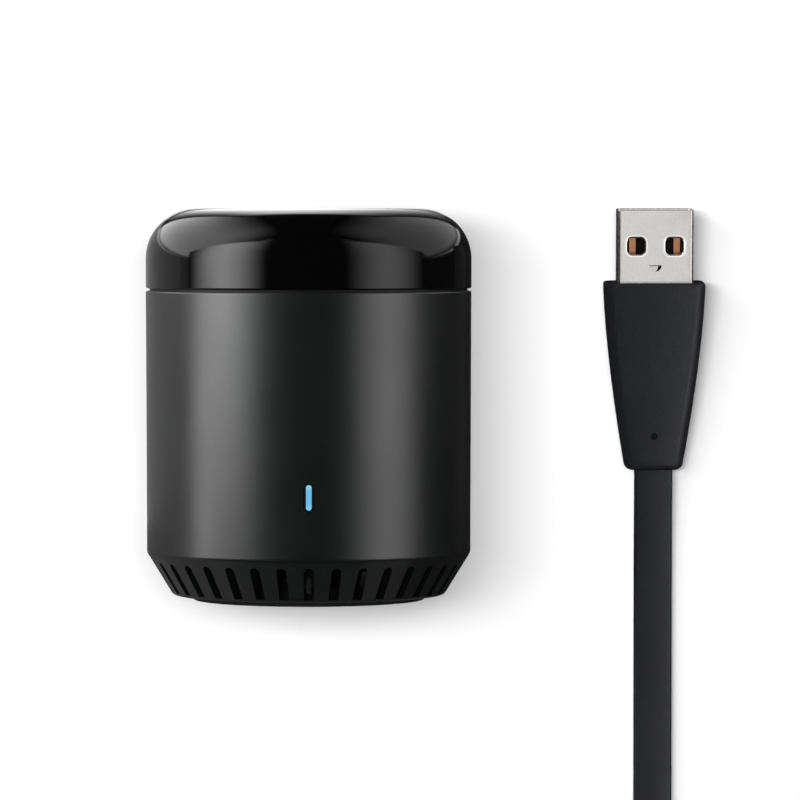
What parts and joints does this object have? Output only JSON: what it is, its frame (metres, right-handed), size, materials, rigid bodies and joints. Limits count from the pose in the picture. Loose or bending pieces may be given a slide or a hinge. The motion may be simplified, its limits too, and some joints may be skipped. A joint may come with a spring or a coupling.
{
  "type": "smart ir blaster",
  "caption": "Drum-shaped infrared remote hub with a gloss cap, slotted base and light slit, lying beside its flat power lead.",
  "frame": {"origin": "on the table, under the middle of the length of the housing, which lies on its back as pictured", "axes": "+Z up from the table, through the light slit's side; +Y along the housing from its foot to its gloss cap; +X towards the lead, which lies flat beside it. To stand the housing up, turn it so that +Y points up."},
  "size_m": [0.0874, 0.1814, 0.05],
  "materials": {
    "gloss_cap": "polished, dark, lets infrared through",
    "matte_housing": "fine matte moulded",
    "dark_plastic": "satin moulded",
    "light_guide": "clear, lit blue",
    "lamp": "moulded lens",
    "foot_rubber": "matte rubber",
    "zinc_steel": "zinc plated",
    "circuit_board": "green solder mask",
    "plug_steel": "nickel plated, satin",
    "contact_copper": "copper alloy, bright",
    "capacitor_can": "sleeved can",
    "component_black": "moulded epoxy",
    "white_nylon": "natural nylon",
    "emitter_lens": "clear tinted epoxy",
    "grip_plastic": "soft matte, finely speckled",
    "cable_jacket": "satin flat jacket",
    "strap": "woven strap"
  },
  "bodies": {
    "housing": {"ir_cap": "gloss_cap", "cap_collar": "dark_plastic", "body_shell": "matte_housing", "indicator_bezel": "dark_plastic", "indicator_window": "light_guide", "indicator_led": "lamp", "reset_switch": "dark_plastic", "bottom_cover": "dark_plastic", "cover_screws": "zinc_steel", "foot_pad": "foot_rubber", "main_board": "circuit_board", "board_screws": "zinc_steel", "power_socket_shell": "plug_steel", "power_socket_tongue": "dark_plastic", "power_socket_contacts": "contact_copper", "radio_module": "circuit_board", "radio_shield": "plug_steel", "smoothing_capacitor": "capacitor_can", "driver_transistors": "component_black", "link_headers": "white_nylon", "board_link": "white_nylon", "emitter_board": "circuit_board", "emitter_board_screws": "zinc_steel", "ir_emitters": "emitter_lens", "ir_receiver": "component_black", "supply_plug_shell": "plug_steel", "supply_plug_insert": "dark_plastic", "supply_plug_contacts": "contact_copper", "supply_plug_grip": "grip_plastic", "cable_run": "cable_jacket", "cable_coil": "cable_jacket", "cable_tie": "strap", "device_plug_grip": "grip_plastic", "device_plug_shell": "plug_steel", "device_plug_insert": "dark_plastic", "device_plug_contacts": "contact_copper"},
    "reset": {"reset_key": "matte_housing", "switch_plunger": "white_nylon"}
  },
  "joints": [
    {"name": "reset_press", "type": "slide", "parent": "housing", "child": "reset", "axis": [0, 0, -1], "range_m": [0, 0.0005], "stiffness_N_per_m": 2000, "springref_m": -0.0002}
  ]
}
